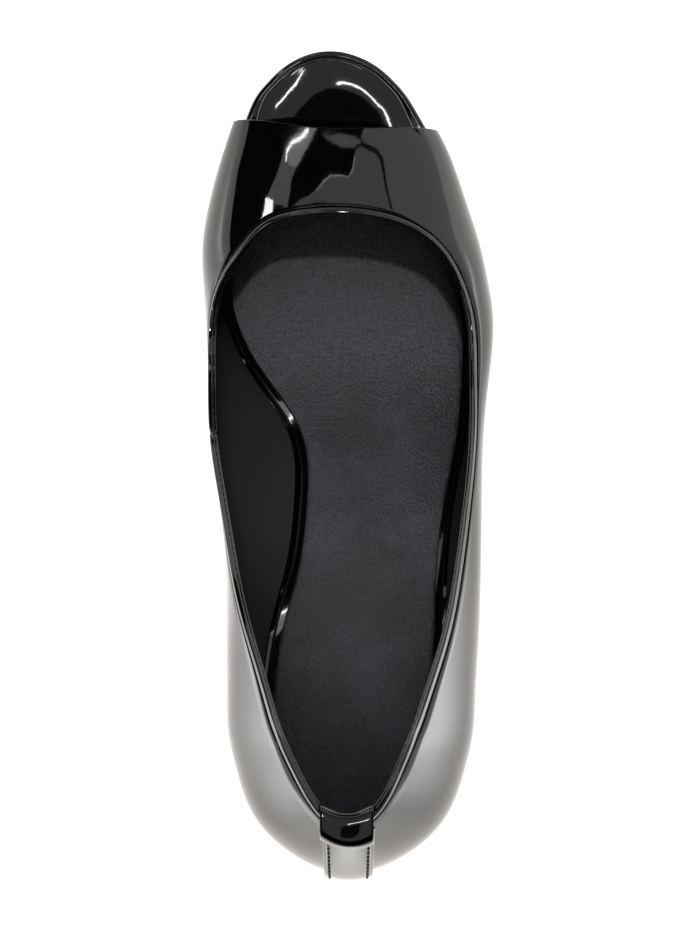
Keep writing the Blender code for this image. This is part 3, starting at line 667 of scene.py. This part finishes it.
# Coated lining: flat black with a soft sheen and a very fine grain, drawn coarser than life.
LINING_GRAIN = 0.6 * MM
LINING_CLOUD = 22.0 * MM
lining_cloth, tree, shader, place = new_material("coated_lining")
grain = add_node(tree, "ShaderNodeTexNoise", {"Scale": 1 / LINING_GRAIN, "Detail": 3}, {"Vector": place})
cloud = add_node(tree, "ShaderNodeTexNoise", {"Scale": 1 / LINING_CLOUD, "Detail": 3}, {"Vector": place})
tone = add_node(tree, "ShaderNodeValToRGB", {"stops": ((0.3, linear("#0b0a0a")), (0.75, linear("#100f0f")))},
                {"Fac": cloud.outputs["Fac"]})
bump = add_node(tree, "ShaderNodeBump", {"Strength": 0.35, "Distance": 0.05 * MM},
                {"Height": grain.outputs["Fac"]})
shader.inputs["Roughness"].default_value = 0.6
shader.inputs["IOR"].default_value = 1.4
tree.links.new(tone.outputs["Color"], shader.inputs["Base Color"])
tree.links.new(bump.outputs["Normal"], shader.inputs["Normal"])

halves = round_the_upper(lining_half)
sections = shell_sections(halves[..., :3], halves[..., 3:], 5)
lining = new_piece("coated_lining", sections, lining_cloth, loop=True)
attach(lining, "root")

# Collar binding: a strip of patent leather folded over the edge of upper and lining and sewn down. It lies
# flush with the upper outside, and the stitches sit in a groove between its top and the turned edge inside.
BINDING_RADIUS = 1.1 * MM
BINDING_LIFT = GAP + BINDING_RADIUS  # its middle over the edge of the upper
# The section: degrees from outside (0) over the top (90) to inside (180), and distance from the middle, mm.
BINDING_SECTION = (
    (0, 1.05), (22, 1.13), (42, 1.4), (62, 1.22), (90, 1.08), (108, 0.95), (120, 0.8), (132, 0.95),
    (150, 1.3), (172, 1.35), (200, 1.2), (240, 1.1), (290, 1.1), (335, 1.05),
)
BINDING_POINTS = 48
PINCH_LENGTH, PINCH = 0.9 * MM, 0.25  # where the binding dips into the side seam


def collar_half(side):
    """(edge, outward, share) along the collar on one side."""
    shares = rib_shares(side)
    reach_at, angle_at = collar_curve(side)
    around = angle_at(shares) if side == IN else 180 - angle_at(shares)
    where = reach_at(shares), around
    return np.concatenate([wall_point(*where), wall_normal(*where), side * shares[:, None]], axis=1)


def binding_section(degrees):
    """How far the binding's surface is from its middle, in the directions given."""
    angles = [angle + lap for lap in (-360, 0, 360) for angle, distance in BINDING_SECTION]
    distances = [distance * MM for angle, distance in BINDING_SECTION] * 3
    return spline(angles, distances)(degrees)


line = round_the_upper(collar_half)
edge, outward, share = line[:, :3], line[:, 3:6], line[:, 6]
up = unit(np.cross(np.roll(edge, -1, axis=0) - np.roll(edge, 1, axis=0), outward))
path = edge - outward * WALL / 2 + up * BINDING_LIFT
pinch = 1 - PINCH * np.exp(-(((share + seam_share()) * LENGTH / PINCH_LENGTH) ** 2))
angles = np.linspace(0, 360, BINDING_POINTS, endpoint=False)
reaches = binding_section(angles)[None, :, None] * pinch[:, None, None]
turn = np.radians(angles)[None, :, None]
sections = path[:, None] + reaches * (outward[:, None] * np.cos(turn) + up[:, None] * np.sin(turn))
binding = new_piece("folded_binding", sections, patent, loop=True)
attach(binding, "root")
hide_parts("collar_binding")

# Binding stitches: bonded polyester thread in a lock stitch, which runs right round the collar and is pulled
# down into the groove of the binding.
STITCH_PITCH = 2.6 * MM
STITCH_LENGTH = 2.1 * MM
STITCH_DIVE = 1.4  # how far its ends go down, in radii of the thread
THREAD_RADIUS = 0.22 * MM
THREAD_TWIST = 0.25 * MM
GROOVE_ANGLE = math.radians(120)

# Bonded thread: black with a dull shine along the twist.
thread, tree, shader, place = new_material("bonded_thread")
twist = add_node(tree, "ShaderNodeTexNoise", {"Scale": 1 / THREAD_TWIST, "Detail": 2}, {"Vector": place})
tone = add_node(tree, "ShaderNodeValToRGB", {"stops": ((0.35, linear("#070707")), (0.7, linear("#121212")))},
                {"Fac": twist.outputs["Fac"]})
bump = add_node(tree, "ShaderNodeBump", {"Strength": 0.5, "Distance": 0.05 * MM},
                {"Height": twist.outputs["Fac"]})
shader.inputs["Roughness"].default_value = 0.6
tree.links.new(tone.outputs["Color"], shader.inputs["Base Color"])
tree.links.new(bump.outputs["Normal"], shader.inputs["Normal"])


def spaced(points, facing, closed):
    """(place, direction ahead, direction facing) of each stitch, at even steps along a line."""
    line = np.concatenate([points, facing], axis=1)
    if closed:
        line = np.concatenate([line, line[:1]])
    run = np.concatenate([[0], np.cumsum(np.linalg.norm(np.diff(line[:, :3], axis=0), axis=1))])
    count = int(run[-1] / STITCH_PITCH)
    places = (np.arange(count) + 0.5) * run[-1] / count
    before, here, after = [
        np.stack([np.interp(places + step, run, column) for column in line.T], axis=1)
        for step in (-STITCH_PITCH / 4, 0, STITCH_PITCH / 4)
    ]
    return here[:, :3], unit(after[:, :3] - before[:, :3]), unit(here[:, 3:])


def stitch_row(points, facing, closed, radius):
    """Rings of points for stitches along a line, each a spindle of thread that dives at both ends."""
    middles, ahead, up = spaced(points, facing, closed)
    beside = unit(np.cross(ahead, up))
    along = np.linspace(-1, 1, 9)
    turns = np.radians(np.linspace(0, 360, 8, endpoint=False))[None, :, None]
    width = radius * np.sqrt(np.clip(1.02 - along**4, 0.02, 1))
    dip = -STITCH_DIVE * radius * along**4
    ring = [
        middles[:, None] + ahead[:, None] * along[i] * STITCH_LENGTH / 2 + up[:, None] * dip[i]
        + width[i] * (beside[:, None] * np.cos(turns) + up[:, None] * np.sin(turns))
        for i in range(len(along))
    ]
    return np.stack(ring, axis=1)


def new_stitches(name, rows):
    """Many stitches as one mesh."""
    mesh = bpy.data.meshes.new(name)
    points, faces = [], []
    for stitch in np.concatenate(rows):
        start = len(points)
        rings, sides = stitch.shape[:2]
        points.extend(stitch.reshape(-1, 3).tolist())
        for i in range(rings - 1):
            for j in range(sides):
                a, b = start + i * sides + j, start + i * sides + (j + 1) % sides
                faces.append((a, b, b + sides, a + sides))
        faces.append(tuple(start + j for j in reversed(range(sides))))
        faces.append(tuple(start + (rings - 1) * sides + j for j in range(sides)))
    mesh.from_pydata(points, [], faces)
    mesh.shade_smooth()
    mesh.materials.append(thread)
    piece = bpy.data.objects.new(name, mesh)
    bpy.context.scene.collection.objects.link(piece)
    return piece


groove_reach = binding_section(math.degrees(GROOVE_ANGLE))
groove_facing = outward * math.cos(GROOVE_ANGLE) + up * math.sin(GROOVE_ANGLE)
row = stitch_row(path + groove_facing * groove_reach, groove_facing, True, THREAD_RADIUS)
binding_thread = new_stitches("binding_stitches", [row])
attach(binding_thread, "root")

# Back strip: two layers of patent leather sewn down the back of the heel, over the seam that closes the two
# quarters, with a row of stitches along each edge.
STRIP_WIDTH = 12.4 * MM
STRIP_GAUGE = 1.4 * MM
STRIP_END = 2.0  # degrees over the feather edge at which it ends
STRIP_FACE = 1.35 * MM  # lift from which a point lies on its outer face
STRIP_THREAD_RADIUS = 0.34 * MM
STITCH_INSET = 1.5 * MM
STITCH_TRACK, TRACK_WIDTH = 0.25 * MM, 0.4 * MM  # how deep and how wide the stitches pull into the strip
STITCH_SINK = 0.6  # how far down the track the thread lies
# The section's edge: inset from the side and lift over the upper, mm, from the inside to the outside.
STRIP_EDGE = (
    (0.5, 0.0), (0.1, 0.12), (0.0, 0.4), (0.12, 0.7), (0.0, 0.95), (0.12, 1.2), (0.45, 1.38), (0.9, 1.4),
)


def across_the_back(offset, drop):
    """(point, outward) on the back of the heel: offset sideways, and drop degrees below the collar."""
    side = IN if offset < 0 else OUT
    reach_at, angle_at = collar_curve(side)
    shares = np.linspace(0, 0.3, 121)
    angle = COLLAR[0][1] - drop
    flip = (lambda a: a) if side == IN else (lambda a: 180 - a)
    start = wall_point(BACK_REACH, flip(angle))
    pace = np.linalg.norm(wall_point(BACK_REACH + 1.0, flip(angle)) - start, axis=-1)
    reach = BACK_REACH + abs(offset) / pace
    around = flip(np.interp(reach, reach_at(shares), angle_at(shares)) - drop)
    return wall_point(reach, around), wall_normal(reach, around)


def strip_columns():
    """(offset, lift) round the strip's section: inside, one edge, outside, the other edge."""
    half = STRIP_WIDTH / 2
    edge = [(half - inset * MM, lift * MM) for inset, lift in STRIP_EDGE]
    face = [(offset, STRIP_GAUGE) for offset in np.linspace(half - 1.0 * MM, -half + 1.0 * MM, 41)]
    inside = [(offset, 0.0) for offset in np.linspace(-half + 0.6 * MM, half - 0.6 * MM, 13)]
    return inside + edge + face + [(-offset, lift) for offset, lift in reversed(edge)]


strip_drops = np.linspace(COLLAR[0][1] - FEATHER_ANGLE - STRIP_END, 0, 90)
columns = []
for offset, lift in strip_columns():
    point, normal = across_the_back(offset, strip_drops)
    track = STITCH_TRACK * math.exp(-(((abs(offset) - STRIP_WIDTH / 2 + STITCH_INSET) / TRACK_WIDTH) ** 2))
    columns.append(point + normal * (GAP + lift - (track if lift > STRIP_FACE else 0)))
strip = new_piece("sewn_strip", np.stack(columns, axis=1), patent)
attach(strip, "root")
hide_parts("back_strip")

rows = []
for side in (IN, OUT):
    point, normal = across_the_back(side * (STRIP_WIDTH / 2 - STITCH_INSET), strip_drops)
    point = point + normal * (GAP + STRIP_GAUGE - STITCH_SINK * STITCH_TRACK)
    rows.append(stitch_row(point, normal, False, STRIP_THREAD_RADIUS))
strip_thread = new_stitches("strip_stitches", rows)
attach(strip_thread, "root")

# Back keeper: a patent tab folded over the collar at the back and sewn in: a leg inside, a flat top and a
# rolled lip that hangs over the top of the strip, a little aslant.
KEEPER_WIDTH = 13.4 * MM
KEEPER_ASIDE = -0.4 * MM  # how far it sits to the arch side
KEEPER_GAUGE = 1.0 * MM
KEEPER_IN, KEEPER_OUT = 5.3 * MM, 2.8 * MM  # how far it reaches forward and back from the collar's edge
KEEPER_LIFT, KEEPER_LIP, KEEPER_LEG = 4.4 * MM, 1.2 * MM, 1.5 * MM  # top and lip above the edge, leg below
KEEPER_FLARE = 0.9 * MM  # how far the end of its lip stands out
KEEPER_BOW = 2.0 * MM  # how far its two ends curve forward
KEEPER_SLANT = 0.1  # how much further back the lip hangs towards the little toe side
KEEPER_ROUND = 0.45 * MM
KEEPER_CUT = 0.45  # share of its gauge that is left at the cut sides
KEEPER_CROWN, KEEPER_TIP = 0.7 * MM, 0.5 * MM  # how far its top falls away to both sides and to the front

edge = wall_point(BACK_REACH, COLLAR[0][1]) + np.array([KEEPER_ASIDE, 0, 0])
offsets = np.linspace(-KEEPER_WIDTH / 2, KEEPER_WIDTH / 2, 45)
turns = np.radians(np.linspace(180, 0, 73))
bend = np.sign(np.cos(turns)) * np.sqrt(np.abs(np.cos(turns)))
height = np.sqrt(np.abs(np.sin(turns)))
flare = KEEPER_FLARE * np.clip(bend, 0, 1) * (1 - height) ** 2
rise = KEEPER_LIP + (KEEPER_LIFT - KEEPER_LIP) * height
rise -= KEEPER_TIP * (1 - bend) / 2
leg = np.linspace(-KEEPER_LEG, KEEPER_LIP, 12)[:-1]
rise = np.concatenate([leg, rise])
tape = []
for offset in offsets:
    bow = KEEPER_BOW * (2 * offset / KEEPER_WIDTH) ** 2
    lip = KEEPER_OUT + KEEPER_SLANT * offset
    back = (lip - KEEPER_IN) / 2 + (lip + KEEPER_IN) / 2 * bend + flare
    back = np.concatenate([np.full(len(leg), -KEEPER_IN), back])
    fall = KEEPER_CROWN * (2 * offset / KEEPER_WIDTH) ** 2
    tape.append(edge + np.column_stack([np.full(len(rise), offset), bow - back, rise - fall]))
tape = np.stack(tape, axis=1)
facing = unit(np.cross(np.gradient(tape, axis=1), np.gradient(tape, axis=0)))
thin = np.clip((KEEPER_WIDTH / 2 - np.abs(offsets)) / KEEPER_ROUND, 0, 1)
thickness = (KEEPER_GAUGE / 2 * (KEEPER_CUT + (1 - KEEPER_CUT) * np.sqrt(1 - (1 - thin) ** 2)))[None, :, None]
sections = np.concatenate([tape + facing * thickness, (tape - facing * thickness)[:, ::-1]], axis=1)
keeper = new_piece("folded_keeper", sections, patent)
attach(keeper, "root")
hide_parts("back_keeper")

# The set: a bright pale floor with a low white wall far round it, and overhead, in the dark, the screens and
# spots whose reflections the patent shows.
FLOOR_RADIUS = 8.0
FLOOR_GLOW, WALL_GLOW = 1.12, 0.85
# Top of the wall seen from the shoe: azimuth from the little toe side to the front, elevation, degrees.
WALL_TOP = (
    (0, 7), (45, 7), (80, 9), (110, 13), (135, 13), (145, 9), (150, 5.5), (155, 7.5), (160, 9), (190, 8),
    (215, 4), (270, 6), (315, 6), (360, 7),
)


def stage_material(name, colour, glow, light="#fffaf4"):
    """A dull surface of one colour that also glows."""
    material = bpy.data.materials.new(name)
    material.use_nodes = True
    shader = material.node_tree.nodes["Principled BSDF"]
    shader.inputs["Base Color"].default_value = linear(colour)
    shader.inputs["Roughness"].default_value = 0.9
    shader.inputs["Emission Color"].default_value = linear(light)
    shader.inputs["Emission Strength"].default_value = glow
    return material


def stage_mesh(name, points, faces, material):
    """A thing of the set, which is no part of the shoe."""
    mesh = bpy.data.meshes.new(name)
    mesh.from_pydata(points, [], faces)
    mesh.materials.append(material)
    thing = bpy.data.objects.new(name, mesh)
    bpy.context.scene.collection.objects.link(thing)
    return thing


turns = np.linspace(0, 2 * math.pi, 180, endpoint=False)
rim = [(FLOOR_RADIUS * math.cos(a), FLOOR_RADIUS * math.sin(a), 0.0) for a in turns]
stage_mesh("pale_floor", rim, [tuple(range(len(rim)))], stage_material("pale_board", "#f4f3f0", FLOOR_GLOW))
elevation = np.interp(np.degrees(turns), [a for a, e in WALL_TOP], [e for a, e in WALL_TOP])
crown = [(x, y, FLOOR_RADIUS * math.tan(math.radians(e))) for (x, y, z), e in zip(rim, elevation)]
count = len(rim)
panels = [(i, (i + 1) % count, count + (i + 1) % count, count + i) for i in range(count)]
stage_mesh("low_wall", rim + crown, panels, stage_material("grey_paper", "#8a8a88", WALL_GLOW))

# Brighter pools on the floor beside the waist and the heel: middle and radii in metres, added glow.
POOLS = (
    (-0.40, -0.05, 0.30, 0.34, 2.2), (0.42, -0.03, 0.30, 0.30, 2.3), (-0.28, -0.36, 0.24, 0.24, 0.9),
    (0.28, -0.36, 0.24, 0.24, 0.3), (0.0, -0.40, 0.14, 0.22, 1.2),
)
POOL_STEP = 0.2 * MM  # how far one lies over another
for order, (x, y, wide, long, glow) in enumerate(POOLS):
    pool_light = stage_material("lit_board", "#000000", 0.0)
    tree = pool_light.node_tree
    place = add_node(tree, "ShaderNodeTexCoord").outputs["Object"]
    fade = add_node(tree, "ShaderNodeTexGradient", {"gradient_type": "SPHERICAL"}, {"Vector": place})
    level = add_node(tree, "ShaderNodeMapRange",
                     {"interpolation_type": "SMOOTHSTEP", "From Max": 0.8, "To Max": glow},
                     {"Value": fade.outputs["Fac"]})
    shine = add_node(tree, "ShaderNodeEmission", {}, {"Strength": level.outputs["Result"]})
    clear = add_node(tree, "ShaderNodeBsdfTransparent")
    both = add_node(tree, "ShaderNodeAddShader", {}, {0: shine.outputs["Emission"], 1: clear.outputs["BSDF"]})
    tree.links.new(both.outputs["Shader"], tree.nodes["Material Output"].inputs["Surface"])
    disc = [(math.cos(a), math.sin(a), 0.0) for a in turns]
    pool = stage_mesh("floor_pool", disc, [tuple(range(len(disc)))], pool_light)
    pool.location = (x, y, POOL_STEP * (order + 1))
    pool.scale = (wide, long, 1.0)
    pool.visible_camera = False

# Screens: radiance, distance in metres, and corners in degrees from straight up: to the right, to the front.
SCREEN_MIDDLE = np.array([0.0, 0.08, 0.045])
CEILING_LEAN, CEILING_FRONT = 27.0, -6.0


def ribbon(path, width):
    """The corners of a band along a path."""
    path = np.array(path, float)
    ahead = unit(np.gradient(path, axis=0))
    aside = np.column_stack([-ahead[:, 1], ahead[:, 0]]) * width / 2
    return np.concatenate([path + aside, (path - aside)[::-1]])


SCREENS = {
    "ceiling": (0.42, 1.1, [
        (CEILING_LEAN * math.cos(a), CEILING_LEAN * math.sin(a) + CEILING_FRONT) for a in turns[::5]]),
    "dark_card": (0.0, 0.9, [
        (-4.5, -16.8), (-3.8, -13.3), (-1.5, -11.4), (1.5, -11.2), (4.5, -10.8), (8, -10.3), (9.5, -11.8),
        (8, -14.8), (4, -20), (-2, -21), (-4.5, -19)]),
    "left_spot": (26.0, 0.88, ribbon([(-11, 0), (-12.4, -5), (-14.6, -6.6), (-16.8, -8)], 1.2)),
    "right_spot": (26.0, 0.88, ribbon(
        [(1.2, -8.8), (2.6, -7.4), (5, -6.9), (8.2, -7.6), (11.6, -8.8), (13.2, -9.6)], 1.0)),
    "grey_strip": (1.0, 1.1, [
        (-10, 54.5), (-20, 51.5), (-28, 48.5), (-32, 44), (-36, 39.5), (-40, 35.5), (-44, 30.5), (-27, 29),
        (-25.6, 33), (-24.8, 38), (-22, 42), (-17, 46.2), (-12, 50), (-6, 54.2)]),
    "strip_head": (2.2, 1.08, [
        (-9, 54), (-20, 51), (-27, 48), (-26, 43.5), (-21, 43.2), (-17, 46.2), (-12, 50), (-6.5, 53.6)]),
    "strip_flare": (20.0, 1.05, ribbon(
        [(-28, 44.5), (-27, 47.2), (-23.5, 49.4), (-16, 51.2), (-11, 53)], 0.9)),
    "small_lamp": (18.0, 1.05, [(-43.5, 32.6), (-37.5, 31.2), (-36.5, 27), (-43, 27)]),
    "lens_card": (0.9, 1.1, [(-5, 53), (0, 54.4), (8, 54), (14, 53), (8, 51.6), (0, 51.8)]),
    "border_glow": (2.6, 1.05, ribbon(
        [(9, 49.5), (8.2, 46), (4.5, 42.6), (0, 43.6), (-5, 43.4), (-9, 41), (-13, 35.5)], 0.7)),
    "dim_screen": (0.75, 1.1, [
        (9.6, 51.2), (8.6, 45.6), (5, 42.4), (0, 43.2), (-5, 43), (-9.4, 40.6), (-13.4, 35.4), (-17.4, 31.4),
        (-26, 28), (28, 24), (26.8, 35.9), (25.2, 42.5), (23, 47.5), (20, 50.2), (13.5, 52)]),
    "wide_screen": (0.86, 1.1, [
        (13.5, 53.4), (20.6, 51.6), (24, 48.4), (26.4, 42.8), (27.8, 36.2), (29.2, 24), (50, 12), (80, 12),
        (78, 45), (64, 57), (40, 61), (16, 60)]),
}
for name, (glow, distance, corners) in SCREENS.items():
    points = []
    for right, front in corners:
        lean, heading = math.radians(math.hypot(right, front)), math.atan2(front, right)
        direction = (math.sin(lean) * math.cos(heading), math.sin(lean) * math.sin(heading), math.cos(lean))
        points.append(tuple(SCREEN_MIDDLE + distance * np.array(direction)))
    cloth = stage_material(name, "#000000", glow, "#fbfbff")
    screen = stage_mesh(name, points, [tuple(range(len(points)))], cloth)
    screen.visible_camera = False

# A dark mat in front keeps the toe's edge black. A flagged spot reaches only sock, lining and topline, and
# its beam ends before the heel.
MAT_NEAR, MAT_FAR, MAT_SIDE, MAT_LIFT = 0.135, 0.36, 0.07, 0.0015
corners = [(side * MAT_SIDE, y, MAT_LIFT) for y in (MAT_NEAR, MAT_FAR) for side in (IN, OUT)]
mat = stage_mesh("dark_mat", corners, [(0, 1, 3, 2)], stage_material("black_felt", "#050505", 0.0))
mat.visible_camera = False
SPOT_PLACE, SPOT_AIM = Vector((0.02, 0.35, 0.93)), Vector((0.0, 0.003, 0.03))
spot = bpy.data.lights.new("key_spot", "SPOT")
spot.energy = 19.0
spot.spot_size, spot.spot_blend = math.radians(9.0), 0.2
spot.shadow_soft_size = 0.04
lamp = bpy.data.objects.new("key_spot", spot)
lamp.location = SPOT_PLACE
lamp.rotation_euler = (SPOT_AIM - SPOT_PLACE).to_track_quat("-Z", "Y").to_euler()
bpy.context.scene.collection.objects.link(lamp)
lit = bpy.data.collections.new("in_the_beam")
for piece in (sock, lining, binding):
    lit.objects.link(piece)
lamp.light_linking.receiver_collection = lit

# A white sky that only the camera sees, so that every side view has a pale ground.
SKY_HALF = 9.0
ends = (-SKY_HALF, SKY_HALF)
corners = [(x, y, z) for z in ends for y in ends for x in ends]
sky_faces = [(0, 1, 5, 4), (1, 3, 7, 5), (3, 2, 6, 7), (2, 0, 4, 6), (4, 5, 7, 6)]
sky = stage_mesh("white_sky", corners, sky_faces, stage_material("white_sky", "#000000", 1.1))
for ray in ("diffuse", "glossy", "transmission", "shadow"):
    setattr(sky, "visible_" + ray, False)

world = bpy.data.worlds.new("dark_studio")
world.use_nodes = True
world.node_tree.nodes["Background"].inputs["Color"].default_value = linear("#101012")
bpy.context.scene.world = world

# Camera: straight over the shoe, toe up, as far off as the photograph was taken.
CAMERA_PLACE = (0.43 * MM, -7.5 * MM, 707.0 * MM)
FOCAL_PIXELS = 2252.0
IMAGE_HEIGHT = 933.0
SENSOR = 36.0
camera = bpy.data.cameras.new("overhead")
camera.sensor_fit = "VERTICAL"
camera.sensor_height = SENSOR
camera.lens = SENSOR * FOCAL_PIXELS / IMAGE_HEIGHT
camera.clip_start = 0.01
holder = bpy.data.objects.new("overhead", camera)
holder.location = CAMERA_PLACE
bpy.context.scene.collection.objects.link(holder)
bpy.context.scene.camera = holder
bpy.context.scene.view_settings.view_transform = "Standard"
